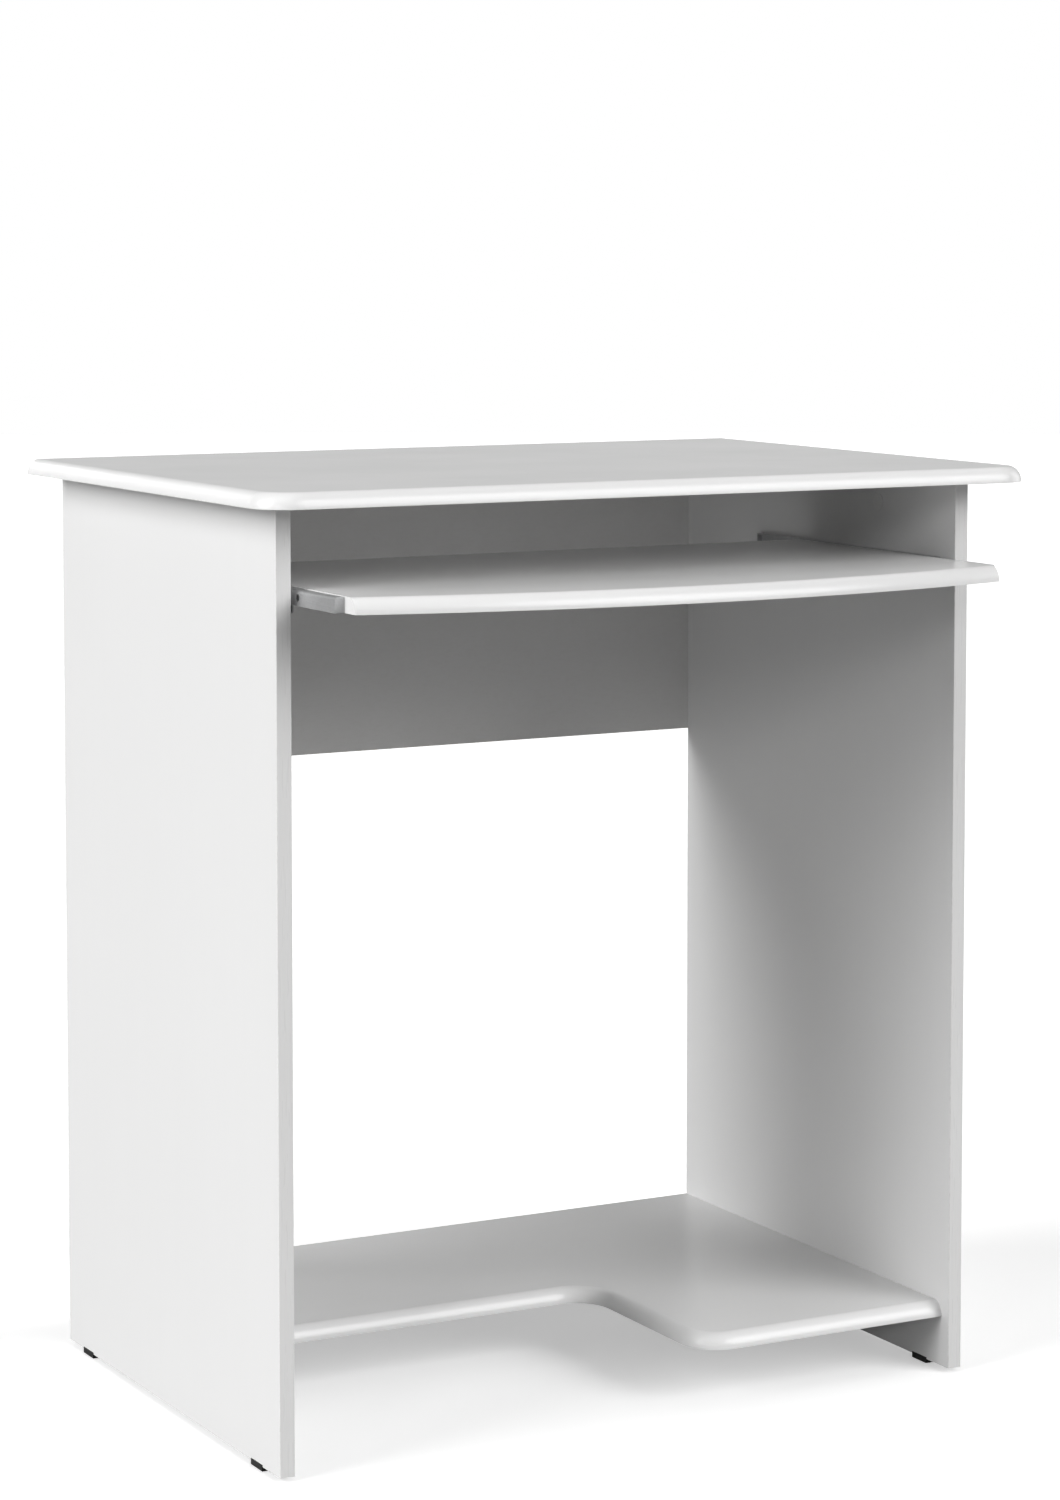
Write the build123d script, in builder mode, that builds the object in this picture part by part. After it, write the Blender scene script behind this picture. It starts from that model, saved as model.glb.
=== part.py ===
from build123d import *

import os
from math import atan, degrees

os.makedirs("parts", exist_ok=True)

# Computer desk with a pull-out keyboard tray, in millimetres.
# Frame: +X to the user's right, +Y away from the user, +Z up.
# Origin: on the floor, at the centre of the box around the whole desk with
# its tray pulled out as far as it is in the rest pose.

# ---------------------------------------------------------------- boards
BOARD = 12.0  # thickness of every laminated board
DESK_WIDTH = 600.0  # over the outer faces of the two side panels
PANEL_DEPTH = 413.0
PANEL_HEIGHT = 714.0
EDGE_BAND = 1.0  # thickness of the strip glued to a panel's front edge
TOP_SIDE_OVERHANG = 30.0
TOP_FRONT_OVERHANG = 50.0
CORNER_RADIUS = 30.0  # plan corners of the desktop and of the shelf's step
NOSE_RUN = 10.0  # how far the rounded edge profile runs in from the edge
BAND_EASING = 0.6  # radius on the edge strip's long edges

SHELF_CLEARANCE = 40.5  # shelf's underside above the panels' bottom edges
SHELF_RIGHT_SETBACK = 10.0  # front edge of the deep part, behind the panels' fronts
SHELF_LEFT_SETBACK = 186.0  # front edge of the shallow part
SHELF_STEP_X = 63.5  # the step between the two, from the desk's middle

BACK_THICKNESS = 3.0
BACK_INSET = 2.0  # below the desktop's surface and inside the panels' outer faces
BACK_BOTTOM = 470.5  # above the panels' bottom edges

# ---------------------------------------------------------------- keyboard tray
TRAY_WIDTH = 550.0
TRAY_HEIGHT = 640.5  # underside above the panels' bottom edges
TRAY_REACH = 119.0  # tip of the bowed front ahead of the panels' fronts
TRAY_BOW = 39.5  # how much the middle of the front stands ahead of its ends
TRAY_LENGTH = 331.0
TRAY_BOW_HALF_ANGLE = 18.0  # of the bowed profile's arc; a little past the tray's ends
TRAY_CORNER_EASING = 2.0  # rear corners

# ---------------------------------------------------------------- slides
SHEET = 1.0  # steel sheet of both slide members
SLIDE_LENGTH = 270.0
RAIL_START = -62.0  # front end of the tray's rail, from the panels' fronts
RUNNER_START = 20.0  # front end of the fixed runner, from the panels' fronts
RAIL_DROP = 0.5  # rail's top below the tray's surface
RAIL_HEIGHT = 11.5
RAIL_OUTER = 5.1  # outer face of the rail, from the side panel's inner face
RAIL_BEND = 2.2
RUNNER_DROP = 0.1  # runner's top below the rail's
RUNNER_FLANGE = 4.8
RUNNER_BEND = 1.4
STOP_TAB = 1.2
GAP = 0.3  # play between a roller and the sheet it runs on
REAR_ROLLER_RADIUS = 8.0
FRONT_ROLLER_RADIUS = 6.0
REAR_ROLLER_SPAN = (1.5, 4.7)  # from the side panel's inner face
FRONT_ROLLER_SPAN = (6.9, 9.8)
EAR_SPAN = (10.1, 11.1)  # upright lug of the runner that carries the front roller
EAR_LENGTH = 14.0
EAR_DROP = 3.5  # lug's top below the rail's
ROLLER_EASING = 0.3
DISH_RADIUS = 3.0  # recess of a roller for its rivet's head
DISH_DEPTH = 0.9
RIVET_RADIUS = 1.25
RIVET_HEAD_RADIUS = 2.6
RIVET_HEAD_HEIGHT = 0.7
RIVET_HEAD_INSET = 0.1  # behind the roller's face
UPSET_RADIUS = 2.0  # closed end of the rivet
UPSET_HEIGHT = 0.4
BORE_CLEARANCE = 0.06

# ---------------------------------------------------------------- fixings
FIT = 0.05  # radial clearance round every fixing in its hole
DOWEL_RADIUS = 3.0
DOWEL_SHORT = 7.5  # depth in a board's face
DOWEL_LONG = 14.5  # depth in a board's edge
DOWEL_EASING = 0.8
DOWEL_RUNOUT = 0.5  # how much deeper than the dowel its holes are
CAM_RADIUS = 6.0
CAM_DEPTH = 9.2
CAM_OFFSET = 24.0  # cam's centre from the joint
CAM_POCKET = (4.0, 6.8, 6.6)  # room for the bolt's head
CAM_SLOT_WIDTH = 4.2  # for the bolt's neck
CROSS_LENGTH = 4.6  # cam's driver recess
CROSS_WIDTH = 1.0
CROSS_DEPTH = 1.5
WELL_RADIUS = 1.3
WELL_DEPTH = 1.8
CAP_RIM = 1.0  # cap's flange past the cam
CAP_HEIGHT = 0.8
CAP_EASING = 0.5
CAP_PEG_RADIUS = 1.2
CAP_PEG_LENGTH = 1.5
BOLT_RADIUS = 2.5
BOLT_BITE = 8.0
BOLT_RUNOUT = 0.2
BOLT_POINT = 1.0  # chamfer at the threaded end
BOLT_HEAD_RADIUS = 3.0
BOLT_HEAD_START = -1.5  # along the bolt, from the cam's centre
BOLT_HEAD_END = 1.0
BOLT_NECK_START = 1.6
BOLT_NECK_RADIUS = 1.7
BOLT_COLLAR_RADIUS = 2.9
BOLT_COLLAR_LENGTH = 2.0
BOLT_COLLAR_GAP = 0.1  # collar to the joint
BOLT_TUNNEL_PLAY = 0.3
BOLT_TUNNEL_OVERLAP = 1.0  # how far the bolt's tunnel runs into the cam's housing
SCREW_RADIUS = 1.5
SCREW_HEAD_RADIUS = 2.6
SCREW_LENGTH = 10.0
SCREW_POINT = 2.0
SLOT_LENGTH = 2.6  # screw's cross recess
SLOT_WIDTH = 0.5
SLOT_DEPTH = 0.6
DRIVER_PLAY = 0.2  # round the screw's head in the driver holes
NAIL_RADIUS = 0.7
NAIL_HEAD_RADIUS = 2.0
NAIL_HEAD_HEIGHT = 0.7
NAIL_HEAD_INSET = 0.1  # below the back panel's surface
NAIL_SHANK = 17.2
NAIL_POINT = 1.5
NAIL_POINT_RADIUS = 0.1
NAIL_HOLE_DEPTH = 20.0

FOOT_HEIGHT = 3.5
FOOT_LENGTH = 20.0
FOOT_LIP = 0.6
FOOT_LIP_HEIGHT = 1.5
FOOT_INSET = 31.0
FOOT_EASING = 0.5
FOOT_NAIL_RADIUS = 0.9
FOOT_NAIL_HEAD_RADIUS = 2.2
FOOT_NAIL_HEAD_HEIGHT = 0.8
FOOT_NAIL_SHANK = 13.0
FOOT_NAIL_POINT = 2.0
FOOT_NAIL_POINT_RADIUS = 0.2
FOOT_NAIL_HOLE_DEPTH = 15.0
FOOT_RECESS_RADIUS = 2.4
FOOT_RECESS_DEPTH = 1.6

# ---------------------------------------------------------------- derived places
OVERALL_DEPTH = TRAY_REACH + PANEL_DEPTH + BACK_THICKNESS
FRONT = TRAY_REACH - OVERALL_DEPTH / 2  # Y of the side panels' front edges
REAR = FRONT + PANEL_DEPTH
PANEL_BASE = FOOT_HEIGHT
PANEL_TOP = PANEL_BASE + PANEL_HEIGHT
INNER = DESK_WIDTH / 2 - BOARD  # X of the right panel's inner face
MIDDLE = DESK_WIDTH / 2 - BOARD / 2  # X of the right panel's middle plane
SHELF_BASE = PANEL_BASE + SHELF_CLEARANCE
TRAY_BASE = PANEL_BASE + TRAY_HEIGHT
TRAY_TIP = FRONT - TRAY_REACH
TRAY_REAR = TRAY_TIP + TRAY_LENGTH
RAIL_TOP = TRAY_BASE + BOARD - RAIL_DROP
RAIL_INNER = (DESK_WIDTH - TRAY_WIDTH) / 2 - BOARD  # rail's face on the tray's edge
RAIL_FRONT = FRONT + RAIL_START
RAIL_END = RAIL_FRONT + SLIDE_LENGTH
RUNNER_FRONT = FRONT + RUNNER_START
RUNNER_END = RUNNER_FRONT + SLIDE_LENGTH
RUNNER_TOP = RAIL_TOP - RUNNER_DROP
RUNNER_BASE = RUNNER_TOP - 2 * (SHEET + GAP + REAR_ROLLER_RADIUS)
SCREW_LINE_RUNNER = (RUNNER_TOP + RUNNER_BASE) / 2
SCREW_LINE_RAIL = TRAY_BASE + BOARD / 2
TRAY_CLOSING_TRAVEL = TRAY_REACH - TRAY_BOW  # to bring the tray's ends flush with the panels
REAR_ROLLER_Y = RUNNER_END - STOP_TAB - GAP - REAR_ROLLER_RADIUS - TRAY_CLOSING_TRAVEL
REAR_ROLLER_Z = SCREW_LINE_RUNNER
FRONT_ROLLER_Y = RUNNER_FRONT + EAR_LENGTH / 2
FRONT_ROLLER_Z = RAIL_TOP - SHEET - GAP - FRONT_ROLLER_RADIUS

TOP_CAM_ROWS = [FRONT + 110, FRONT + 330]
TOP_DOWEL_ROWS = [FRONT + 60, FRONT + 375]
SHELF_CAM_ROWS = {-1: [FRONT + 240, FRONT + 350], 1: [FRONT + 60, FRONT + 240, FRONT + 350]}
SHELF_DOWEL_ROWS = {-1: [FRONT + 212, FRONT + 385], 1: [FRONT + 90, FRONT + 385]}
RUNNER_SCREW_ROWS = [RUNNER_FRONT + 30, RUNNER_FRONT + 135, RUNNER_FRONT + 245]
RAIL_SCREW_ROWS = [RAIL_FRONT + 62, RAIL_FRONT + 157, RAIL_FRONT + 240]
BACK_NAIL_HEIGHTS = [PANEL_BASE + h for h in (482, 552, 622, 692)]
BACK_NAIL_COLUMNS = [-240, -120, 0, 120, 240]
BACK_NAIL_TOP_LINE = PANEL_TOP + BOARD / 2
FOOT_ROWS = [FRONT + FOOT_INSET + FOOT_LENGTH / 2, REAR - FOOT_INSET - FOOT_LENGTH / 2]
BOLT_TUNNEL = CAM_OFFSET - CAM_RADIUS + BOLT_TUNNEL_OVERLAP
SIDES = {"left": -1, "right": 1}
STANDING = (Align.CENTER, Align.CENTER, Align.MIN)
HANGING = (Align.CENTER, Align.CENTER, Align.MAX)


def save(piece, name):
    """Label a finished piece and write it as one STEP file."""
    piece.part.label = name
    export_step(piece.part, f"parts/{name}.step")


def planes(points, normal, upward=None):
    """A workplane at each point, its Z along the normal."""
    return [Plane(origin=point, x_dir=upward, z_dir=normal) for point in points]


def drill(points, normal, radius, depth):
    """Blind holes of one size, entered at the points against the outward normal."""
    with Locations(*planes(points, normal)):
        Hole(radius=radius, depth=depth)


def group(piece, places):
    """Identical separate solids of one piece, one at each workplane."""
    with BuildPart() as copies:
        with Locations(*places):
            add(piece.part)
    return copies


def round_edge(path):
    """Cut the quarter-ellipse edge profile along a path on a board's underside."""
    direction = path % 0
    section = Plane(origin=path @ 0, x_dir=Vector(0, 0, 1).cross(direction), z_dir=direction)
    with BuildSketch(section) as profile:
        with BuildLine():
            EllipticalCenterArc((NOSE_RUN, 0), NOSE_RUN, BOARD, start_angle=90, arc_size=90)
            Polyline((0, 0), (-1, 0), (-1, BOARD + 1), (NOSE_RUN, BOARD + 1), (NOSE_RUN, BOARD))
        make_face()
    sweep(sections=profile.sketch, path=path, mode=Mode.SUBTRACT)


def both_sides(rows, x, z):
    """Points at the same rows on the left and on the right of the desk."""
    return [(side * x, row, z) for side in SIDES.values() for row in rows]


# ---------------------------------------------------------------- desktop
with BuildPart() as desktop:
    half = DESK_WIDTH / 2 + TOP_SIDE_OVERHANG
    top_front = FRONT - TOP_FRONT_OVERHANG
    outline = [(-half, REAR), (-half, top_front), (half, top_front), (half, REAR)]
    with BuildLine(Plane.XY.offset(PANEL_TOP)) as visible_edge:
        FilletPolyline(*outline, radius=CORNER_RADIUS)
    with BuildSketch(Plane.XY.offset(PANEL_TOP)):
        with BuildLine():
            FilletPolyline(*outline, radius=CORNER_RADIUS)
            Line((half, REAR), (-half, REAR))
        make_face()
    extrude(amount=BOARD)
    round_edge(visible_edge.line)
    top_bolts = both_sides(TOP_CAM_ROWS, MIDDLE, PANEL_TOP)
    drill(top_bolts, (0, 0, -1), BOLT_RADIUS + FIT, BOLT_BITE + BOLT_RUNOUT)
    top_dowels = both_sides(TOP_DOWEL_ROWS, MIDDLE, PANEL_TOP)
    drill(top_dowels, (0, 0, -1), DOWEL_RADIUS + FIT, DOWEL_SHORT + DOWEL_RUNOUT)
    nail_points = [(x, REAR, BACK_NAIL_TOP_LINE) for x in BACK_NAIL_COLUMNS]
    drill(nail_points, (0, 1, 0), NAIL_RADIUS + FIT, NAIL_HOLE_DEPTH)
save(desktop, "desktop")


# ---------------------------------------------------------------- side panels
def side_panel(side):
    """One upright board, with every hole that its fixings need."""
    inward = (-side, 0, 0)
    inner = side * INNER
    middle = side * MIDDLE
    with BuildPart() as panel:
        with Locations((middle, (FRONT + EDGE_BAND + REAR) / 2, PANEL_BASE + PANEL_HEIGHT / 2)):
            Box(BOARD, PANEL_DEPTH - EDGE_BAND, PANEL_HEIGHT)
        # joints with the desktop
        cam_points = [(inner, row, PANEL_TOP - CAM_OFFSET) for row in TOP_CAM_ROWS]
        drill(cam_points, inward, CAM_RADIUS + FIT, CAM_DEPTH + FIT)
        bolt_points = [(middle, row, PANEL_TOP) for row in TOP_CAM_ROWS]
        drill(bolt_points, (0, 0, 1), BOLT_HEAD_RADIUS + BOLT_TUNNEL_PLAY, BOLT_TUNNEL)
        dowel_points = [(middle, row, PANEL_TOP) for row in TOP_DOWEL_ROWS]
        drill(dowel_points, (0, 0, 1), DOWEL_RADIUS + FIT, DOWEL_LONG + DOWEL_RUNOUT)
        # joints with the shelf
        shelf_middle = SHELF_BASE + BOARD / 2
        shelf_bolts = [(inner, row, shelf_middle) for row in SHELF_CAM_ROWS[side]]
        drill(shelf_bolts, inward, BOLT_RADIUS + FIT, BOLT_BITE + BOLT_RUNOUT)
        shelf_dowels = [(inner, row, shelf_middle) for row in SHELF_DOWEL_ROWS[side]]
        drill(shelf_dowels, inward, DOWEL_RADIUS + FIT, DOWEL_SHORT + DOWEL_RUNOUT)
        # slide runner, back panel and feet
        runner_screws = [(inner, row, SCREW_LINE_RUNNER) for row in RUNNER_SCREW_ROWS]
        drill(runner_screws, inward, SCREW_RADIUS + FIT, SCREW_LENGTH)
        back_nails = [(middle, REAR, height) for height in BACK_NAIL_HEIGHTS]
        drill(back_nails, (0, 1, 0), NAIL_RADIUS + FIT, NAIL_HOLE_DEPTH)
        foot_nails = [(middle, row, PANEL_BASE) for row in FOOT_ROWS]
        drill(foot_nails, (0, 0, -1), FOOT_NAIL_RADIUS + FIT, FOOT_NAIL_HOLE_DEPTH)
    return panel


def edge_band(side):
    """The strip glued to a side panel's front edge, with eased long edges."""
    with BuildPart() as band:
        with Locations((side * MIDDLE, FRONT + EDGE_BAND / 2, PANEL_BASE + PANEL_HEIGHT / 2)):
            Box(BOARD, EDGE_BAND, PANEL_HEIGHT)
        long_front_edges = band.edges().filter_by(Axis.Z).group_by(Axis.Y)[0]
        fillet(long_front_edges, radius=BAND_EASING)
    return band


for side_name, side_sign in SIDES.items():
    save(side_panel(side_sign), f"{side_name}_side_panel")
    save(edge_band(side_sign), f"{side_name}_edge_band")


# ---------------------------------------------------------------- back panel
with BuildPart() as back_panel:
    back_top = PANEL_TOP + BOARD - BACK_INSET
    back_bottom = PANEL_BASE + BACK_BOTTOM
    back_skin = REAR + BACK_THICKNESS
    with Locations((0, REAR + BACK_THICKNESS / 2, (back_top + back_bottom) / 2)):
        Box(DESK_WIDTH - 2 * BACK_INSET, BACK_THICKNESS, back_top - back_bottom)
    nail_places = [(x, back_skin, BACK_NAIL_TOP_LINE) for x in BACK_NAIL_COLUMNS]
    for side in SIDES.values():
        nail_places += [(side * MIDDLE, back_skin, height) for height in BACK_NAIL_HEIGHTS]
    drill(nail_places, (0, 1, 0), NAIL_RADIUS + FIT, BACK_THICKNESS)
    drill(nail_places, (0, 1, 0), NAIL_HEAD_RADIUS + FIT, NAIL_HEAD_INSET + NAIL_HEAD_HEIGHT)
save(back_panel, "back_panel")

with BuildPart() as back_nail:
    head_base = -NAIL_HEAD_INSET - NAIL_HEAD_HEIGHT
    with Locations((0, 0, -NAIL_HEAD_INSET)):
        Cylinder(NAIL_HEAD_RADIUS, NAIL_HEAD_HEIGHT, align=HANGING)
    with Locations((0, 0, head_base)):
        Cylinder(NAIL_RADIUS, NAIL_SHANK, align=HANGING)
    with Locations((0, 0, head_base - NAIL_SHANK)):
        Cone(NAIL_POINT_RADIUS, NAIL_RADIUS, NAIL_POINT, align=HANGING)
save(group(back_nail, planes(nail_places, (0, 1, 0))), "back_panel_nails")


# ---------------------------------------------------------------- lower shelf
with BuildPart() as lower_shelf:
    shallow = FRONT + SHELF_LEFT_SETBACK
    deep = FRONT + SHELF_RIGHT_SETBACK
    step = [(-INNER, shallow), (SHELF_STEP_X, shallow), (SHELF_STEP_X, deep), (INNER, deep)]
    with BuildLine(Plane.XY.offset(SHELF_BASE)) as shelf_edge:
        FilletPolyline(*step, radius=CORNER_RADIUS)
    with BuildSketch(Plane.XY.offset(SHELF_BASE)):
        with BuildLine():
            FilletPolyline(*step, radius=CORNER_RADIUS)
            Polyline((INNER, deep), (INNER, REAR), (-INNER, REAR), (-INNER, shallow))
        make_face()
    extrude(amount=BOARD)
    round_edge(shelf_edge.line)
    for side in SIDES.values():
        outward = (side, 0, 0)
        cam_points = [(side * (INNER - CAM_OFFSET), row, SHELF_BASE) for row in SHELF_CAM_ROWS[side]]
        drill(cam_points, (0, 0, -1), CAM_RADIUS + FIT, CAM_DEPTH + FIT)
        bolt_points = [(side * INNER, row, SHELF_BASE + BOARD / 2) for row in SHELF_CAM_ROWS[side]]
        drill(bolt_points, outward, BOLT_HEAD_RADIUS + BOLT_TUNNEL_PLAY, BOLT_TUNNEL)
        dowel_points = [(side * INNER, row, SHELF_BASE + BOARD / 2) for row in SHELF_DOWEL_ROWS[side]]
        drill(dowel_points, outward, DOWEL_RADIUS + FIT, DOWEL_LONG + DOWEL_RUNOUT)
save(lower_shelf, "lower_shelf")


# ---------------------------------------------------------------- keyboard tray
with BuildPart() as keyboard_tray:
    tray_half = TRAY_WIDTH / 2
    tray_ends = TRAY_TIP + TRAY_BOW
    bow_radius = (tray_half**2 + TRAY_BOW**2) / (2 * TRAY_BOW)
    with BuildSketch(Plane.XY.offset(TRAY_BASE)):
        with BuildLine():
            left_end, right_end = (-tray_half, tray_ends), (tray_half, tray_ends)
            ThreePointArc(left_end, (0, TRAY_TIP), right_end)
            Polyline(right_end, (tray_half, TRAY_REAR), (-tray_half, TRAY_REAR), left_end)
        make_face()
    extrude(amount=BOARD)
    # the profile runs a little past both ends, so that it leaves them cut square
    with BuildLine(Plane.XY.offset(TRAY_BASE)) as bowed_edge:
        bow_start = 270 - TRAY_BOW_HALF_ANGLE
        CenterArc((0, TRAY_TIP + bow_radius), bow_radius, bow_start, 2 * TRAY_BOW_HALF_ANGLE)
    round_edge(bowed_edge.line)
    rear_corners = keyboard_tray.edges().filter_by(Axis.Z).group_by(Axis.Y)[-1]
    fillet(rear_corners, radius=TRAY_CORNER_EASING)
    for side in SIDES.values():
        screw_points = [(side * tray_half, row, SCREW_LINE_RAIL) for row in RAIL_SCREW_ROWS]
        drill(screw_points, (side, 0, 0), SCREW_RADIUS + FIT, SCREW_LENGTH)
save(keyboard_tray, "keyboard_tray")


# ---------------------------------------------------------------- slides, left hand
def across(distance):
    """X of a place on the left slide, from the left panel's inner face."""
    return distance - INNER


HEAD_ANGLE = 2 * degrees(atan((SCREW_HEAD_RADIUS - SCREW_RADIUS) / SHEET))

with BuildPart() as tray_rail:
    base = RAIL_TOP - RAIL_HEIGHT
    outer, inner_face = across(RAIL_OUTER), across(RAIL_INNER)
    with BuildSketch(Plane.XZ.offset(-RAIL_END)) as channel:
        with BuildLine():
            FilletPolyline((outer, base), (outer, RAIL_TOP), (inner_face, RAIL_TOP), radius=RAIL_BEND)
            Polyline((inner_face, RAIL_TOP), (inner_face, base), (inner_face - SHEET, base))
            Line((inner_face - SHEET, base), (inner_face - SHEET, RAIL_TOP - SHEET))
            inside = [
                (inner_face - SHEET, RAIL_TOP - SHEET),
                (outer + SHEET, RAIL_TOP - SHEET),
                (outer + SHEET, base),
            ]
            FilletPolyline(*inside, radius=RAIL_BEND - SHEET)
            Line((outer + SHEET, base), (outer, base))
        make_face()
    extrude(amount=SLIDE_LENGTH)
    # the front end is folded shut
    with BuildSketch(Plane.XZ.offset(-RAIL_FRONT - SHEET)):
        with BuildLine():
            FilletPolyline((outer, base), (outer, RAIL_TOP), (inner_face, RAIL_TOP), radius=RAIL_BEND)
            Polyline((inner_face, RAIL_TOP), (inner_face, base), (outer, base))
        make_face()
    extrude(amount=SHEET)
    # driver holes in the outer wall, countersunk holes in the inner one
    driver_points = [(outer, row, SCREW_LINE_RAIL) for row in RAIL_SCREW_ROWS]
    drill(driver_points, (-1, 0, 0), SCREW_HEAD_RADIUS + DRIVER_PLAY, 2 * SHEET)
    screw_points = [(inner_face - SHEET, row, SCREW_LINE_RAIL) for row in RAIL_SCREW_ROWS]
    with Locations(*planes(screw_points, (-1, 0, 0))):
        CounterSinkHole(SCREW_RADIUS + FIT, SCREW_HEAD_RADIUS + FIT, 2 * SHEET, HEAD_ANGLE)
    drill([(outer, REAR_ROLLER_Y, REAR_ROLLER_Z)], (-1, 0, 0), RIVET_RADIUS + FIT, SHEET)

with BuildPart() as runner:
    web, flange = across(0), across(RUNNER_FLANGE)
    ear_in, ear_out = across(EAR_SPAN[0]), across(EAR_SPAN[1])
    with BuildSketch(Plane.XZ.offset(-RUNNER_END)):
        with BuildLine():
            outside = [(flange, RUNNER_BASE), (web, RUNNER_BASE), (web, RUNNER_TOP), (flange, RUNNER_TOP)]
            FilletPolyline(*outside, radius=RUNNER_BEND)
            Line((flange, RUNNER_TOP), (flange, RUNNER_TOP - SHEET))
            inside = [
                (flange, RUNNER_TOP - SHEET),
                (web + SHEET, RUNNER_TOP - SHEET),
                (web + SHEET, RUNNER_BASE + SHEET),
                (flange, RUNNER_BASE + SHEET),
            ]
            FilletPolyline(*inside, radius=RUNNER_BEND - SHEET)
            Line((flange, RUNNER_BASE + SHEET), (flange, RUNNER_BASE))
        make_face()
    extrude(amount=SLIDE_LENGTH)
    # the lug of the front roller: the lower flange widens and turns up
    ear_top = RAIL_TOP - EAR_DROP
    with BuildSketch(Plane.XZ.offset(-RUNNER_FRONT - EAR_LENGTH)):
        with BuildLine():
            Line((flange, RUNNER_BASE + SHEET), (flange, RUNNER_BASE))
            outside = [(flange, RUNNER_BASE), (ear_out, RUNNER_BASE), (ear_out, ear_top)]
            FilletPolyline(*outside, radius=RUNNER_BEND)
            Line((ear_out, ear_top), (ear_in, ear_top))
            inside = [(ear_in, ear_top), (ear_in, RUNNER_BASE + SHEET), (flange, RUNNER_BASE + SHEET)]
            FilletPolyline(*inside, radius=RUNNER_BEND - SHEET)
        make_face()
    extrude(amount=EAR_LENGTH)
    # a stop tab across each end
    tab_height = RUNNER_TOP - RUNNER_BASE - 2 * SHEET
    tab_middle = (web + SHEET + flange) / 2
    tab_rows = [RUNNER_FRONT + STOP_TAB / 2, RUNNER_END - STOP_TAB / 2]
    with Locations(*[(tab_middle, row, SCREW_LINE_RUNNER) for row in tab_rows]):
        Box(flange - web - SHEET, STOP_TAB, tab_height)
    screw_points = [(web + SHEET, row, SCREW_LINE_RUNNER) for row in RUNNER_SCREW_ROWS]
    with Locations(*planes(screw_points, (1, 0, 0))):
        CounterSinkHole(SCREW_RADIUS + FIT, SCREW_HEAD_RADIUS + FIT, 2 * SHEET, HEAD_ANGLE)
    drill([(ear_out, FRONT_ROLLER_Y, FRONT_ROLLER_Z)], (1, 0, 0), RIVET_RADIUS + FIT, SHEET)


# ---------------------------------------------------------------- rollers and their rivets
def roller(radius, span, y, z):
    """A nylon wheel on a rivet, dished for the rivet's head on the panel's side."""
    width = span[1] - span[0]
    with BuildPart() as wheel:
        with BuildSketch(Plane(origin=(across(span[0]), y, z), z_dir=(1, 0, 0))):
            Circle(radius)
            Circle(RIVET_RADIUS + BORE_CLEARANCE, mode=Mode.SUBTRACT)
        extrude(amount=width)
        rims = wheel.edges().filter_by(GeomType.CIRCLE).sort_by(SortBy.RADIUS)[-2:]
        chamfer(rims, length=ROLLER_EASING)
        drill([(across(span[0]), y, z)], (-1, 0, 0), DISH_RADIUS, DISH_DEPTH)
    return wheel


def rivet(span, wall, y, z):
    """A rivet through a roller and the sheet that carries it."""
    head_start = across(span[0]) + RIVET_HEAD_INSET
    shank_end = across(wall) + UPSET_HEIGHT
    with BuildPart() as pin:
        with BuildSketch(Plane(origin=(head_start, y, z), z_dir=(1, 0, 0))):
            Circle(RIVET_HEAD_RADIUS)
        extrude(amount=RIVET_HEAD_HEIGHT)
        with BuildSketch(Plane(origin=(head_start, y, z), z_dir=(1, 0, 0))):
            Circle(RIVET_RADIUS)
        extrude(amount=shank_end - head_start)
        with BuildSketch(Plane(origin=(across(wall), y, z), z_dir=(1, 0, 0))):
            Circle(UPSET_RADIUS)
        extrude(amount=UPSET_HEIGHT)
    return pin


def mirrored(piece):
    """The same piece for the right-hand side."""
    with BuildPart() as other:
        mirror(piece.part, about=Plane.YZ)
    return other


def pair(piece):
    """Both hands of a piece, as separate solids of one node."""
    with BuildPart() as hands:
        add(piece.part)
        mirror(piece.part, about=Plane.YZ)
    return hands


front_roller = roller(FRONT_ROLLER_RADIUS, FRONT_ROLLER_SPAN, FRONT_ROLLER_Y, FRONT_ROLLER_Z)
rear_roller = roller(REAR_ROLLER_RADIUS, REAR_ROLLER_SPAN, REAR_ROLLER_Y, REAR_ROLLER_Z)
front_rivet = rivet(FRONT_ROLLER_SPAN, EAR_SPAN[1], FRONT_ROLLER_Y, FRONT_ROLLER_Z)
rear_rivet = rivet(REAR_ROLLER_SPAN, RAIL_OUTER + SHEET, REAR_ROLLER_Y, REAR_ROLLER_Z)

handed_pieces = {
    "tray_rail": tray_rail,
    "runner": runner,
    "front_roller": front_roller,
    "rear_roller": rear_roller,
}
for piece_name, left_piece in handed_pieces.items():
    save(left_piece, f"left_{piece_name}")
    save(mirrored(left_piece), f"right_{piece_name}")
save(pair(front_rivet), "runner_rivets")
save(pair(rear_rivet), "rail_rivets")

# ---------------------------------------------------------------- slide screws
with BuildPart() as screw:
    with BuildSketch(Plane.XZ):
        with BuildLine():
            half_profile = [
                (0, 0),
                (SCREW_HEAD_RADIUS, 0),
                (SCREW_RADIUS, -SHEET),
                (SCREW_RADIUS, SCREW_POINT - SCREW_LENGTH),
                (0, -SCREW_LENGTH),
            ]
            Polyline(*half_profile, close=True)
        make_face()
    revolve(axis=Axis.Z)
    # cross recess for the driver
    Box(SLOT_LENGTH, SLOT_WIDTH, 2 * SLOT_DEPTH, mode=Mode.SUBTRACT)
    Box(SLOT_WIDTH, SLOT_LENGTH, 2 * SLOT_DEPTH, mode=Mode.SUBTRACT)

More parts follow.
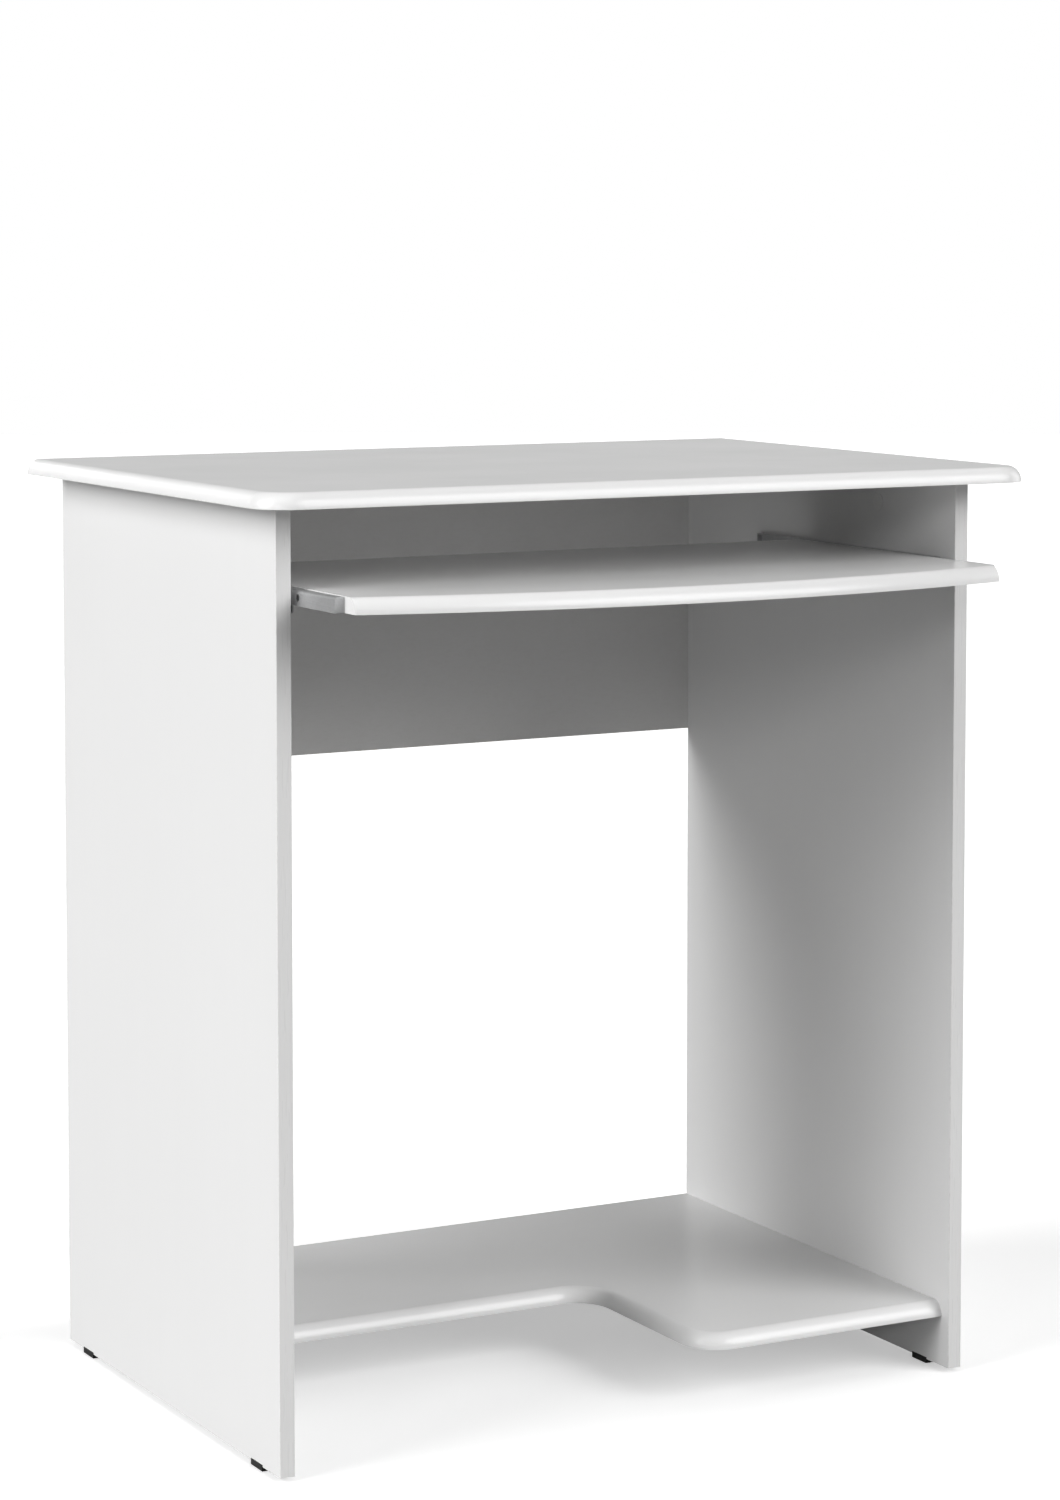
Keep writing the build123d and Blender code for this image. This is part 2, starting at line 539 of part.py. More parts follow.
runner_screw_places = []
rail_screw_places = []
for side in SIDES.values():
    runner_face = side * (INNER - SHEET)
    rail_face = side * (TRAY_WIDTH / 2 + SHEET)
    runner_points = [(runner_face, row, SCREW_LINE_RUNNER) for row in RUNNER_SCREW_ROWS]
    runner_screw_places += planes(runner_points, (-side, 0, 0))
    rail_points = [(rail_face, row, SCREW_LINE_RAIL) for row in RAIL_SCREW_ROWS]
    rail_screw_places += planes(rail_points, (side, 0, 0))
save(group(screw, runner_screw_places), "runner_screws")
save(group(screw, rail_screw_places), "rail_screws")

# ---------------------------------------------------------------- cam fittings and dowels
# Local frame: +Z out of the cam's visible face, +X towards the joint that it pulls shut.
with BuildPart() as cam:
    Cylinder(CAM_RADIUS, CAM_DEPTH, align=HANGING)
    # pocket for the bolt's head, and the slot that its neck passes
    with Locations((0, 0, -BOARD / 2)):
        Box(*CAM_POCKET, mode=Mode.SUBTRACT)
    with Locations((CAM_RADIUS / 2, 0, -BOARD / 2)):
        Box(CAM_RADIUS + 1, CAM_SLOT_WIDTH, CAM_POCKET[2], mode=Mode.SUBTRACT)
    # driver recess
    Box(CROSS_LENGTH, CROSS_WIDTH, 2 * CROSS_DEPTH, mode=Mode.SUBTRACT)
    Box(CROSS_WIDTH, CROSS_LENGTH, 2 * CROSS_DEPTH, mode=Mode.SUBTRACT)
    Cylinder(WELL_RADIUS, 2 * WELL_DEPTH, mode=Mode.SUBTRACT)

with BuildPart() as cam_bolt:
    collar_start = CAM_OFFSET - BOLT_COLLAR_LENGTH
    collar_end = CAM_OFFSET - BOLT_COLLAR_GAP
    bolt_end = CAM_OFFSET + BOLT_BITE
    with BuildSketch(Plane.XZ):
        with BuildLine():
            half_profile = [
                (BOLT_HEAD_START, 0),
                (BOLT_HEAD_START, BOLT_HEAD_RADIUS),
                (BOLT_HEAD_END, BOLT_HEAD_RADIUS),
                (BOLT_NECK_START, BOLT_NECK_RADIUS),
                (collar_start, BOLT_NECK_RADIUS),
                (collar_start, BOLT_COLLAR_RADIUS),
                (collar_end, BOLT_COLLAR_RADIUS),
                (collar_end, BOLT_RADIUS),
                (bolt_end - BOLT_POINT, BOLT_RADIUS),
                (bolt_end, BOLT_RADIUS - BOLT_POINT),
                (bolt_end, 0),
            ]
            Polyline(*half_profile, close=True)
        make_face()
    revolve(axis=Axis.X)

with BuildPart() as cam_cap:
    Cylinder(CAM_RADIUS + CAP_RIM, CAP_HEIGHT, align=STANDING)
    fillet(cam_cap.edges().group_by(Axis.Z)[-1], radius=CAP_EASING)
    Cylinder(CAP_PEG_RADIUS, CAP_PEG_LENGTH, align=HANGING)

top_cam_places = []
shelf_cam_places = []
for side in SIDES.values():
    top_points = [(side * INNER, row, PANEL_TOP - CAM_OFFSET) for row in TOP_CAM_ROWS]
    top_cam_places += planes(top_points, (-side, 0, 0), upward=(0, 0, 1))
    shelf_points = [(side * (INNER - CAM_OFFSET), row, SHELF_BASE) for row in SHELF_CAM_ROWS[side]]
    shelf_cam_places += planes(shelf_points, (0, 0, -1), upward=(side, 0, 0))


def bolt_places(cam_places):
    """The bolt's axis lies in the middle of the board that holds the cam."""
    return [place.offset(-BOARD / 2) for place in cam_places]


save(group(cam, top_cam_places), "top_cams")
save(group(cam_bolt, bolt_places(top_cam_places)), "top_cam_bolts")
save(group(cam_cap, top_cam_places), "top_cam_caps")
save(group(cam, shelf_cam_places), "shelf_cams")
save(group(cam_bolt, bolt_places(shelf_cam_places)), "shelf_cam_bolts")

with BuildPart() as dowel:
    with Locations((0, 0, (DOWEL_SHORT - DOWEL_LONG) / 2)):
        Cylinder(DOWEL_RADIUS, DOWEL_SHORT + DOWEL_LONG)
    chamfer(dowel.edges().filter_by(GeomType.CIRCLE), length=DOWEL_EASING)

shelf_dowel_places = []
for side in SIDES.values():
    shelf_points = [(side * INNER, row, SHELF_BASE + BOARD / 2) for row in SHELF_DOWEL_ROWS[side]]
    shelf_dowel_places += planes(shelf_points, (side, 0, 0))
top_dowel_places = planes(both_sides(TOP_DOWEL_ROWS, MIDDLE, PANEL_TOP), (0, 0, 1))
save(group(dowel, top_dowel_places), "top_dowels")
save(group(dowel, shelf_dowel_places), "shelf_dowels")

# ---------------------------------------------------------------- feet
with BuildPart() as foot:
    width = BOARD + 2 * FOOT_LIP
    Box(width, FOOT_LENGTH, FOOT_HEIGHT, align=STANDING)
    chamfer(foot.edges().group_by(Axis.Z)[0], length=FOOT_EASING)
    lip_offset = (BOARD + FOOT_LIP) / 2
    with Locations((-lip_offset, 0, FOOT_HEIGHT), (lip_offset, 0, FOOT_HEIGHT)):
        Box(FOOT_LIP, FOOT_LENGTH, FOOT_LIP_HEIGHT, align=STANDING)
    with Locations(Plane(origin=(0, 0, 0), z_dir=(0, 0, -1))):
        CounterBoreHole(FOOT_NAIL_RADIUS + FIT, FOOT_RECESS_RADIUS, FOOT_RECESS_DEPTH, FOOT_HEIGHT)

with BuildPart() as foot_nail:
    with Locations((0, 0, FOOT_RECESS_DEPTH - FOOT_NAIL_HEAD_HEIGHT)):
        Cylinder(FOOT_NAIL_HEAD_RADIUS, FOOT_NAIL_HEAD_HEIGHT, align=STANDING)
    with Locations((0, 0, FOOT_RECESS_DEPTH)):
        Cylinder(FOOT_NAIL_RADIUS, FOOT_NAIL_SHANK, align=STANDING)
    with Locations((0, 0, FOOT_RECESS_DEPTH + FOOT_NAIL_SHANK)):
        Cone(FOOT_NAIL_RADIUS, FOOT_NAIL_POINT_RADIUS, FOOT_NAIL_POINT, align=STANDING)

for side_name, side_sign in SIDES.items():
    for row_name, row in zip(("front", "rear"), FOOT_ROWS):
        place = Plane(origin=(side_sign * MIDDLE, row, 0))
        save(group(foot, [place]), f"{side_name}_{row_name}_foot")
save(group(foot_nail, planes(both_sides(FOOT_ROWS, MIDDLE, 0), (0, 0, 1))), "foot_nails")
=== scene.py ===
"""Looks of the computer desk with keyboard tray: finishes, floor, lights and camera round the frame."""

import math

import bmesh
import bpy
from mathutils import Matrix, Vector


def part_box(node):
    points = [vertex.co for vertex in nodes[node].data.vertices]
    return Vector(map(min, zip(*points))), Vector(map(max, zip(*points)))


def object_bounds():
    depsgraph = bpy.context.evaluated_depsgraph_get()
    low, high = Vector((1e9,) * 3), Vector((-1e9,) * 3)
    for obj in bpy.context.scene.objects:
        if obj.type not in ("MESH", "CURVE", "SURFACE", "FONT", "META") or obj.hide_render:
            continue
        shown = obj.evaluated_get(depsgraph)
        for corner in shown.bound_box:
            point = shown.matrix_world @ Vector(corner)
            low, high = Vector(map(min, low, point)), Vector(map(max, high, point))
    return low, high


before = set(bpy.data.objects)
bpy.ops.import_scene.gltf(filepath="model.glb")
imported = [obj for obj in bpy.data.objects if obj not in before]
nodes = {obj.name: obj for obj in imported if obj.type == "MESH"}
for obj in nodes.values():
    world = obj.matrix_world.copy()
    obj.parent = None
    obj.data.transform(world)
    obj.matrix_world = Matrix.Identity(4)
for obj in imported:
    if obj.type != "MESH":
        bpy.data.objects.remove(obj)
cad_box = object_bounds()
low, high = cad_box
middle = (low + high) / 2


# ---- node trees --------------------------------------------------------------------------------------------


class Finish:
    """One material: its Principled shader and the texture nodes that feed it, all in metres on the object."""

    def __init__(self, name):
        self.material = bpy.data.materials.new(name)
        self.material.use_nodes = True
        self.tree = self.material.node_tree
        self.shader = self.tree.nodes["Principled BSDF"]
        self.place = self.add("ShaderNodeTexCoord").outputs["Object"]

    def add(self, kind, **settings):
        """A new node with its properties set."""
        node = self.tree.nodes.new(kind)
        for name, value in settings.items():
            setattr(node, name, value)
        return node

    def feed(self, socket, value):
        """Links an output to a socket, or sets the socket to a constant."""
        if isinstance(value, bpy.types.NodeSocket):
            self.tree.links.new(value, socket)
        else:
            socket.default_value = value

    def set(self, **values):
        """Constant numbers and colours on the shader's own sockets."""
        for name, value in values.items():
            self.shader.inputs[name.replace("_", " ")].default_value = value

    def math(self, operation, first, second=0.0):
        """A number worked out from one or two others."""
        node = self.add("ShaderNodeMath", operation=operation)
        self.feed(node.inputs[0], first)
        self.feed(node.inputs[1], second)
        return node.outputs[0]

    def stretched(self, scale, move=(0, 0, 0)):
        """The object's coordinates moved, then scaled by a different amount along each axis."""
        node = self.add("ShaderNodeMapping", vector_type="POINT")
        self.feed(node.inputs["Vector"], self.place)
        node.inputs["Location"].default_value = [-shift * factor for shift, factor in zip(move, scale)]
        node.inputs["Scale"].default_value = scale
        return node.outputs["Vector"]

    def noise(self, scale, detail=2.0, rough=0.5, at=None):
        """Soft noise between 0 and 1; scale is how many features there are in a metre."""
        node = self.add("ShaderNodeTexNoise")
        self.feed(node.inputs["Vector"], at or self.place)
        node.inputs["Scale"].default_value = scale
        node.inputs["Detail"].default_value = detail
        node.inputs["Roughness"].default_value = rough
        return node.outputs["Fac"]

    def cells(self, scale, at=None):
        """A random grey for each crystal of a mosaic."""
        node = self.add("ShaderNodeTexVoronoi")
        self.feed(node.inputs["Vector"], at or self.place)
        node.inputs["Scale"].default_value = scale
        split = self.add("ShaderNodeSeparateColor")
        self.feed(split.inputs[0], node.outputs["Color"])
        return split.outputs[0]

    def remap(self, value, start, end, out_start=0.0, out_end=1.0):
        """A number taken from one range to another, held inside it, with eased ends."""
        node = self.add("ShaderNodeMapRange", interpolation_type="SMOOTHSTEP", clamp=True)
        self.feed(node.inputs["Value"], value)
        node.inputs["From Min"].default_value = start
        node.inputs["From Max"].default_value = end
        node.inputs["To Min"].default_value = out_start
        node.inputs["To Max"].default_value = out_end
        return node.outputs["Result"]

    def mix(self, factor, first, second):
        """A colour between two others."""
        node = self.add("ShaderNodeMix", data_type="RGBA")
        self.feed(node.inputs["Factor"], factor)
        self.feed(node.inputs[6], first)
        self.feed(node.inputs[7], second)
        return node.outputs[2]

    def bump(self, height, depth, under=None):
        """Relief of the given depth in metres, on top of another relief."""
        node = self.add("ShaderNodeBump")
        node.inputs["Distance"].default_value = depth
        self.feed(node.inputs["Height"], height)
        if under is not None:
            self.feed(node.inputs["Normal"], under)
        return node.outputs["Normal"]

    def finish(self, colour, roughness, normal):
        """Joins the three varying inputs to the shader."""
        self.feed(self.shader.inputs["Base Color"], colour)
        self.feed(self.shader.inputs["Roughness"], roughness)
        self.feed(self.shader.inputs["Normal"], normal)
        return self.material

    def edge_distance(self, lo, hi):
        """Distance along the surface of a box to its nearest edge."""
        from_low = self.add("ShaderNodeVectorMath", operation="SUBTRACT")
        self.feed(from_low.inputs[0], self.place)
        from_low.inputs[1].default_value = lo
        from_high = self.add("ShaderNodeVectorMath", operation="SUBTRACT")
        from_high.inputs[0].default_value = hi
        self.feed(from_high.inputs[1], self.place)
        nearest = self.add("ShaderNodeVectorMath", operation="MINIMUM")
        self.feed(nearest.inputs[0], from_low.outputs[0])
        self.feed(nearest.inputs[1], from_high.outputs[0])
        split = self.add("ShaderNodeSeparateXYZ")
        self.feed(split.inputs[0], nearest.outputs[0])
        x, y, z = split.outputs
        inner = self.math("MINIMUM", self.math("MAXIMUM", x, y), z)
        return self.math("MAXIMUM", self.math("MINIMUM", x, y), inner)


def grey(value, warmth=0.0):
    """A linear grey, a little yellower where warmth is above 0."""
    return (value, value * (1 - warmth * 0.4), value * (1 - warmth), 1.0)


# ---- board, edging and hardboard ---------------------------------------------------------------------------

# how a pattern is drawn out along the length of a board, strip or dowel
DRAWN_OUT = 0.04
LENGTHWAYS = {"x": (DRAWN_OUT, 1.0, 1.0), "y": (1.0, DRAWN_OUT, 1.0), "z": (1.0, 1.0, DRAWN_OUT)}
FIBRE_STRETCH = (0.35, 1.0, 1.0)
CRYSTAL_STRETCH = (1.0, 0.7, 1.0)
TRACK_STRETCH = (1.0, 0.015, 1.0)
SCUFF_STRETCH = (1.0, 0.25, 1.0)

# depth of relief, in metres
PEEL_DEPTH = 0.000008
DRAWN_DEPTH = 0.000012
FIBRE_DEPTH = 0.00002
ROLLED_DEPTH = 0.000008
PLATING_DEPTH = 0.00001
CASTING_DEPTH = 0.00003
RING_DEPTH = 0.00001
CAP_GRAIN_DEPTH = 0.00001
FOOT_GRAIN_DEPTH = 0.00004
BEECH_DEPTH = 0.00004

# refractive index of each clear or painted skin
FOIL_IOR = 1.46
EDGING_IOR = 1.5
LACQUER_IOR = 1.46
NYLON_IOR = 1.53
CAP_IOR = 1.5
FOOT_IOR = 1.48

RUBBED_BOARD = (0.42, 0.33, 0.24, 1.0)
BEECH_DARK = (0.52, 0.35, 0.20, 1.0)
BEECH_PALE = (0.72, 0.54, 0.36, 1.0)
BEECH_FLECK = (0.33, 0.19, 0.10, 1.0)


def foil_board(node, along):
    """White foil pressed on board: satin, a fine orange peel, faint print grain, rubbed edges."""
    finish = Finish(f"{node}_foil")
    lo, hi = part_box(node)
    grain = finish.noise(60, 3, 0.5, finish.stretched(LENGTHWAYS[along]))
    clouds = finish.noise(4, 3, 0.6)
    speckle = finish.noise(900, 2, 0.6)
    peel = finish.noise(430, 2, 0.5)

    rub = finish.remap(finish.edge_distance(lo, hi), 0.0011, 0.0002)
    rub = finish.math("MULTIPLY", rub, finish.remap(finish.noise(160, 4, 0.7), 0.42, 0.68))

    colour = finish.mix(clouds, grey(0.806, 0.004), grey(0.822, 0.002))
    colour = finish.mix(finish.remap(speckle, 0.35, 0.75, 0.0, 0.15), colour, grey(0.780, 0.006))
    colour = finish.mix(finish.remap(grain, 0.40, 0.75, 0.0, 0.10), colour, grey(0.785, 0.006))
    colour = finish.mix(finish.math("MULTIPLY", rub, 0.45), colour, grey(0.60, 0.04))

    sheen = finish.remap(clouds, 0.3, 0.7, 0.22, 0.25)
    roughness = finish.math("ADD", sheen, finish.math("MULTIPLY", rub, 0.2))

    finish.set(IOR=FOIL_IOR, Specular_IOR_Level=0.5)
    return finish.finish(colour, roughness, finish.bump(peel, PEEL_DEPTH))


def edge_strip(node):
    """Plastic edging: fine drawn lines down its length, rubbed at the edges."""
    finish = Finish(f"{node}_edging")
    lo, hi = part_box(node)
    drawn = finish.noise(700, 2, 0.5, finish.stretched(LENGTHWAYS["z"]))
    clouds = finish.noise(9, 2, 0.5)
    rub = finish.remap(finish.edge_distance(lo, hi), 0.0009, 0.0002)
    rub = finish.math("MULTIPLY", rub, finish.remap(finish.noise(190, 4, 0.7), 0.44, 0.7))
    colour = finish.mix(clouds, grey(0.790, 0.010), grey(0.815, 0.004))
    colour = finish.mix(finish.remap(drawn, 0.3, 0.8, 0.0, 0.3), colour, grey(0.76, 0.01))
    colour = finish.mix(finish.math("MULTIPLY", rub, 0.4), colour, grey(0.62, 0.05))
    sheen = finish.remap(drawn, 0.3, 0.7, 0.26, 0.36)
    roughness = finish.math("ADD", sheen, finish.math("MULTIPLY", rub, 0.2))
    finish.set(IOR=EDGING_IOR)
    return finish.finish(colour, roughness, finish.bump(drawn, DRAWN_DEPTH))


def hardboard(node):
    """Thin fibreboard under white lacquer: soft mottling, short fibres and pinholes showing through."""
    finish = Finish(f"{node}_lacquer")
    lo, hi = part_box(node)
    fibres = finish.noise(520, 4, 0.65, finish.stretched(FIBRE_STRETCH))
    clouds = finish.noise(14, 3, 0.6)
    pinholes = finish.remap(finish.noise(1300, 1, 0.4), 0.70, 0.78)
    rub = finish.remap(finish.edge_distance(lo, hi), 0.0010, 0.0002)
    rub = finish.math("MULTIPLY", rub, finish.remap(finish.noise(140, 4, 0.7), 0.40, 0.66))
    colour = finish.mix(clouds, grey(0.775, 0.020), grey(0.805, 0.008))
    colour = finish.mix(finish.remap(fibres, 0.4, 0.75, 0.0, 0.4), colour, grey(0.74, 0.03))
    colour = finish.mix(finish.math("MULTIPLY", pinholes, 0.35), colour, grey(0.55, 0.08))
    colour = finish.mix(finish.math("MULTIPLY", rub, 0.6), colour, RUBBED_BOARD)
    roughness = finish.remap(fibres, 0.3, 0.75, 0.36, 0.50)
    finish.set(IOR=LACQUER_IOR)
    return finish.finish(colour, roughness, finish.bump(fibres, FIBRE_DEPTH))


# ---- metal -------------------------------------------------------------------------------------------------


def zinc_sheet(node):
    """Zinc-plated steel strip: rolling lines down its length, faint crystals, dull handling marks."""
    finish = Finish(f"{node}_zinc")
    rolled = finish.noise(1100, 3, 0.6, finish.stretched(LENGTHWAYS["y"]))
    crystals = finish.cells(900, finish.stretched(CRYSTAL_STRETCH))
    clouds = finish.noise(70, 3, 0.6)
    track = finish.noise(1500, 2, 0.6, finish.stretched(TRACK_STRETCH))
    colour = finish.mix(crystals, grey(0.47, -0.02), grey(0.52, -0.02))
    colour = finish.mix(finish.remap(rolled, 0.35, 0.75, 0.0, 0.3), colour, grey(0.39, -0.02))
    colour = finish.mix(finish.remap(clouds, 0.4, 0.75, 0.0, 0.25), colour, grey(0.37, 0.0))
    sheen = finish.remap(clouds, 0.3, 0.7, 0.30, 0.40)
    roughness = finish.math("ADD", sheen, finish.remap(track, 0.4, 0.7, 0.0, 0.1))
    finish.set(Metallic=0.55)
    return finish.finish(colour, roughness, finish.bump(rolled, ROLLED_DEPTH))


def bright_zinc():
    """Small fixings: bright zinc plate with drawing marks and dull specks."""
    finish = Finish("bright_zinc")
    marks = finish.noise(2600, 3, 0.6)
    dull = finish.noise(420, 3, 0.6)
    colour = finish.mix(dull, grey(0.52, -0.02), grey(0.68, 0.01))
    colour = finish.mix(finish.remap(marks, 0.5, 0.75, 0.0, 0.35), colour, grey(0.40, 0.0))
    finish.set(Metallic=1.0)
    roughness = finish.remap(dull, 0.3, 0.7, 0.24, 0.40)
    return finish.finish(colour, roughness, finish.bump(marks, PLATING_DEPTH))


def cast_zinc():
    """Die-cast zinc: a dull, sandy skin with darker flow marks."""
    finish = Finish("cast_zinc")
    sand = finish.noise(2200, 3, 0.7)
    flow = finish.noise(240, 3, 0.6)
    colour = finish.mix(flow, grey(0.42, -0.01), grey(0.56, -0.01))
    colour = finish.mix(finish.remap(sand, 0.45, 0.75, 0.0, 0.4), colour, grey(0.33, 0.0))
    finish.set(Metallic=1.0)
    roughness = finish.remap(sand, 0.3, 0.7, 0.42, 0.58)
    return finish.finish(colour, roughness, finish.bump(sand, CASTING_DEPTH))


# ---- plastics and beech ------------------------------------------------------------------------------------


def ringed_nylon(node):
    """Natural nylon roller: milky, with fine turned rings round its axle and grey grime."""
    finish = Finish(f"{node}_nylon")
    lo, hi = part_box(node)
    centre = (Vector(lo) + Vector(hi)) / 2
    rings = finish.add("ShaderNodeTexWave", wave_type="RINGS", rings_direction="X", wave_profile="SIN")
    finish.feed(rings.inputs["Vector"], finish.stretched((1.0, 1.0, 1.0), centre))
    rings.inputs["Scale"].default_value = 500
    rings.inputs["Distortion"].default_value = 1.5
    milk = finish.noise(260, 3, 0.6)
    grime = finish.remap(finish.noise(700, 3, 0.7), 0.45, 0.75)
    colour = finish.mix(milk, grey(0.70, 0.05), grey(0.78, 0.03))
    colour = finish.mix(finish.math("MULTIPLY", grime, 0.35), colour, grey(0.48, 0.05))
    roughness = finish.remap(milk, 0.3, 0.7, 0.34, 0.46)
    finish.set(IOR=NYLON_IOR)
    return finish.finish(colour, roughness, finish.bump(rings.outputs["Fac"], RING_DEPTH))


def cap_plastic():
    """White moulded caps: a fine spark-eroded skin."""
    finish = Finish("cap_plastic")
    grain = finish.noise(2400, 2, 0.6)
    clouds = finish.noise(150, 2, 0.5)
    colour = finish.mix(clouds, grey(0.77, 0.015), grey(0.81, 0.005))
    roughness = finish.remap(grain, 0.3, 0.7, 0.30, 0.42)
    finish.set(IOR=CAP_IOR)
    return finish.finish(colour, roughness, finish.bump(grain, CAP_GRAIN_DEPTH))


def foot_plastic():
    """Black moulded feet: matt grained skin with pale scuffs."""
    finish = Finish("foot_plastic")
    grain = finish.noise(1900, 3, 0.65)
    scuffs = finish.remap(finish.noise(420, 4, 0.7, finish.stretched(SCUFF_STRETCH)), 0.56, 0.74)
    colour = finish.mix(grain, grey(0.012), grey(0.026))
    colour = finish.mix(finish.math("MULTIPLY", scuffs, 0.35), colour, grey(0.09, 0.03))
    roughness = finish.remap(grain, 0.3, 0.7, 0.42, 0.60)
    finish.set(IOR=FOOT_IOR)
    return finish.finish(colour, roughness, finish.bump(grain, FOOT_GRAIN_DEPTH))


def beech(node, along):
    """Raw beech dowel: straight grain and short dark flecks along its length."""
    finish = Finish(f"{node}_beech")
    grain = finish.noise(700, 4, 0.6, finish.stretched(LENGTHWAYS[along]))
    flecks = finish.remap(finish.noise(1500, 2, 0.5, finish.stretched(LENGTHWAYS[along])), 0.60, 0.72)
    colour = finish.mix(grain, BEECH_DARK, BEECH_PALE)
    colour = finish.mix(finish.math("MULTIPLY", flecks, 0.6), colour, BEECH_FLECK)
    roughness = finish.remap(grain, 0.3, 0.7, 0.55, 0.72)
    return finish.finish(colour, roughness, finish.bump(grain, BEECH_DEPTH))


# ---- finishes on the parts ---------------------------------------------------------------------------------


def give(material, *names):
    """Puts a material in every slot of the named parts."""
    for name in names:
        for slot in nodes[name].material_slots:
            slot.material = material


for name, along in (
    ("desktop", "x"),
    ("left_side_panel", "z"),
    ("right_side_panel", "z"),
    ("lower_shelf", "x"),
    ("keyboard_tray", "x"),
):
    give(foil_board(name, along), name)
for side in ("left", "right"):
    give(edge_strip(f"{side}_edge_band"), f"{side}_edge_band")
    give(zinc_sheet(f"{side}_runner"), f"{side}_runner")
    give(zinc_sheet(f"{side}_tray_rail"), f"{side}_tray_rail")
    for end in ("front", "rear"):
        give(ringed_nylon(f"{side}_{end}_roller"), f"{side}_{end}_roller")
give(hardboard("back_panel"), "back_panel")
give(
    bright_zinc(),
    *("runner_rivets", "rail_rivets", "runner_screws", "rail_screws"),
    *("back_panel_nails", "foot_nails", "top_cam_bolts", "shelf_cam_bolts"),
)
give(cast_zinc(), "top_cams", "shelf_cams")
give(cap_plastic(), "top_cam_caps")
give(beech("top_dowels", "z"), "top_dowels")
give(beech("shelf_dowels", "x"), "shelf_dowels")
give(foot_plastic(), "left_front_foot", "left_rear_foot", "right_front_foot", "right_rear_foot")


# ---- floor -------------------------------------------------------------------------------------------------

FLOOR_RADIUS = 14.0
FLOOR_SIDES = 96
FLOOR_GLOW = 0.40
FLOOR_UNSEEN = 0.22
DUST_DEPTH = 0.00005


def studio_floor():
    """A wide disc under the feet: pale to the camera, darker in the light that it throws back on the desk."""
    mesh = bpy.data.meshes.new("studio_floor")
    shape = bmesh.new()
    bmesh.ops.create_circle(shape, cap_ends=True, segments=FLOOR_SIDES, radius=FLOOR_RADIUS)
    shape.to_mesh(mesh)
    shape.free()
    floor = bpy.data.objects.new("studio_floor", mesh)
    floor.location = (middle.x, middle.y, low.z)
    bpy.context.scene.collection.objects.link(floor)
    finish = Finish("floor_paint")
    clouds = finish.noise(1.3, 3, 0.6)
    dust = finish.noise(240, 3, 0.6)
    seen = finish.add("ShaderNodeLightPath").outputs["Is Camera Ray"]
    colour = finish.mix(seen, grey(FLOOR_UNSEEN), finish.mix(clouds, grey(0.83), grey(0.86)))
    finish.set(Emission_Color=grey(1.0), Specular_IOR_Level=0.1)
    finish.feed(finish.shader.inputs["Emission Strength"], finish.math("MULTIPLY", seen, FLOOR_GLOW))
    roughness = finish.remap(dust, 0.3, 0.7, 0.8, 0.9)
    mesh.materials.append(finish.finish(colour, roughness, finish.bump(dust, DUST_DEPTH)))


studio_floor()


# ---- light -------------------------------------------------------------------------------------------------

LAMP_DISTANCE = 3.0
BACKDROP_TOWARDS = (0.47, 0.88, 0.1)
BACKDROP_EDGE = 0.45
BACKDROP_CORE = 0.9
BACKDROP_LIGHT = 0.34
WALL_LIGHT = 0.06


def softbox(name, azimuth, elevation, spread, strength):
    """A soft light from one side, its spread in degrees; azimuth 0 is in front and 90 is on the right."""
    data = bpy.data.lights.new(name, "SUN")
    data.angle = math.radians(spread)
    data.energy = strength
    light = bpy.data.objects.new(name, data)
    around = math.radians(azimuth)
    up = math.radians(elevation)
    towards = Vector((math.sin(around) * math.cos(up), -math.cos(around) * math.cos(up), math.sin(up)))
    light.location = middle + towards * LAMP_DISTANCE
    light.rotation_euler = (-towards).to_track_quat("-Z", "Y").to_euler()
    bpy.context.scene.collection.objects.link(light)


softbox("key_left", -92, 25, 44, 3.15)
softbox("soft_left_front", -50, 12.8, 9, 0.34)
softbox("fill_right_front", 32, 28, 40, 2.15)
softbox("side_right", 88, 11, 40, 0.75)
softbox("rim_rear", -179, 8, 20, 0.85)


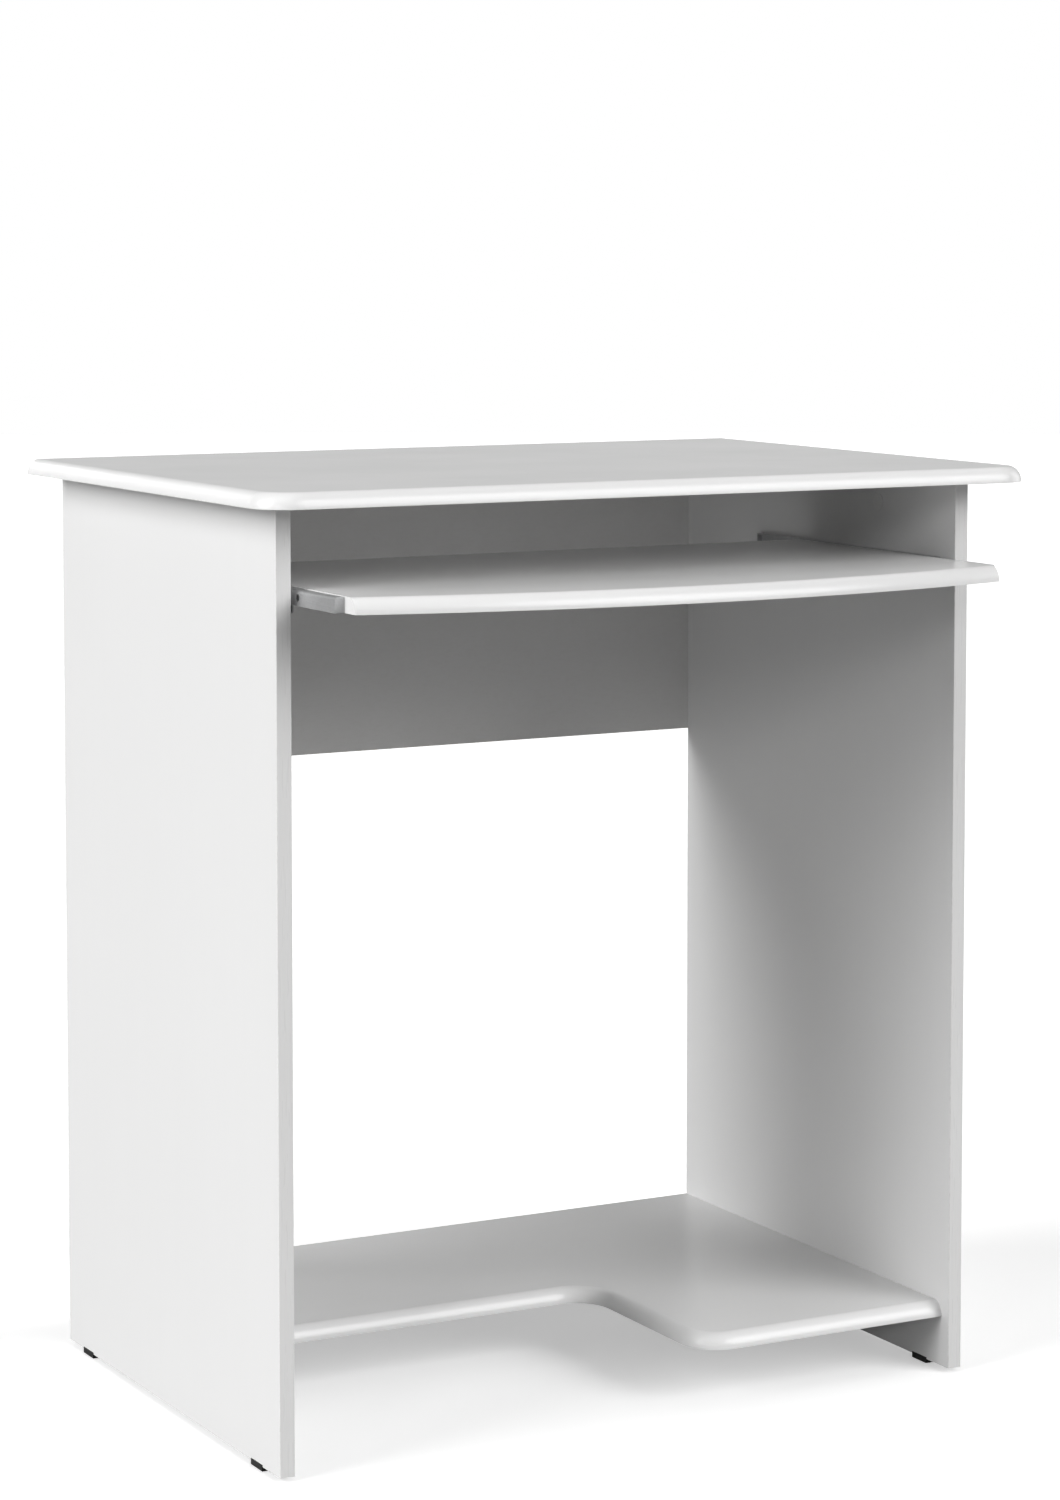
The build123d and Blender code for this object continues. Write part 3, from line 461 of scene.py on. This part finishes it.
def studio_air():
    """White behind the desk as the camera sees it; a lit backdrop and dim walls as the desk sees it."""
    world = bpy.data.worlds.new("studio_air")
    world.use_nodes = True
    tree = world.node_tree
    direction = tree.nodes.new("ShaderNodeTexCoord").outputs["Generated"]
    facing = tree.nodes.new("ShaderNodeVectorMath")
    facing.operation = "DOT_PRODUCT"
    facing.inputs[1].default_value = BACKDROP_TOWARDS
    tree.links.new(direction, facing.inputs[0])
    glow = tree.nodes.new("ShaderNodeMapRange")
    glow.interpolation_type = "SMOOTHSTEP"
    glow.inputs["From Min"].default_value = BACKDROP_EDGE
    glow.inputs["From Max"].default_value = BACKDROP_CORE
    glow.inputs["To Min"].default_value = WALL_LIGHT
    glow.inputs["To Max"].default_value = BACKDROP_LIGHT
    tree.links.new(facing.outputs["Value"], glow.inputs["Value"])
    lit = tree.nodes["Background"]
    lit.inputs["Color"].default_value = grey(1.0)
    tree.links.new(glow.outputs["Result"], lit.inputs["Strength"])
    seen = tree.nodes.new("ShaderNodeBackground")
    seen.inputs["Color"].default_value = grey(1.0)
    seen.inputs["Strength"].default_value = 1.0
    rays = tree.nodes.new("ShaderNodeLightPath")
    both = tree.nodes.new("ShaderNodeMixShader")
    tree.links.new(rays.outputs["Is Camera Ray"], both.inputs[0])
    tree.links.new(lit.outputs[0], both.inputs[1])
    tree.links.new(seen.outputs[0], both.inputs[2])
    tree.links.new(both.outputs[0], tree.nodes["World Output"].inputs["Surface"])
    bpy.context.scene.world = world


studio_air()
bpy.context.scene.view_settings.view_transform = "Standard"


# ---- camera ------------------------------------------------------------------------------------------------

CAMERA_PLACE = (-1.4843, -2.7356, 0.9225)
CAMERA_YAW = 28.278
CAMERA_PITCH = 4.414
CAMERA_LENS = 95.21
CAMERA_SHIFT = -0.15
SENSOR_WIDTH = 36.0

camera_data = bpy.data.cameras.new("camera")
camera_data.lens = CAMERA_LENS
camera_data.sensor_width = SENSOR_WIDTH
camera_data.shift_y = CAMERA_SHIFT
camera = bpy.data.objects.new("camera", camera_data)
camera.location = CAMERA_PLACE
camera.rotation_euler = (math.radians(90 - CAMERA_PITCH), 0, math.radians(-CAMERA_YAW))
bpy.context.scene.collection.objects.link(camera)
bpy.context.scene.camera = camera
